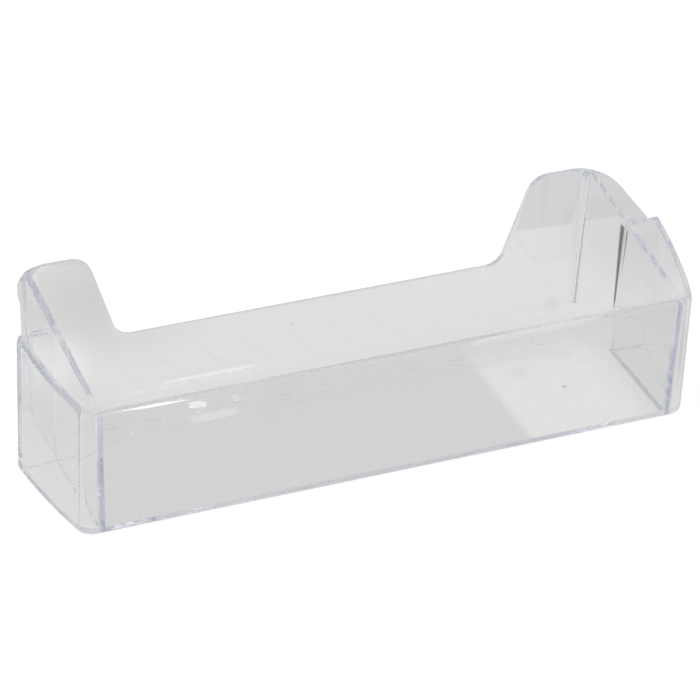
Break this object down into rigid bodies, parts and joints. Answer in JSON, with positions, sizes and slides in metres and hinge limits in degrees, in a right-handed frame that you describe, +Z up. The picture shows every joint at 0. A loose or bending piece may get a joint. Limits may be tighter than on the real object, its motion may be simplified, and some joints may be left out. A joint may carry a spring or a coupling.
{
  "type": "fridge door shelf",
  "caption": "Clear moulded bottle shelf for a refrigerator door: deep tray with a bowed pocket at each front corner, raised back ears and hanging ledges.",
  "frame": {"origin": "on the underside, below the middle of the shelf", "axes": "+Z up, +Y towards the door that the shelf hangs on, +X to the right as seen from the front"},
  "size_m": [0.4, 0.13, 0.0995],
  "materials": {
    "clear_plastic": "clear, glossy"
  },
  "bodies": {
    "root": {"door_shelf": "clear_plastic"}
  },
  "joints": []
}
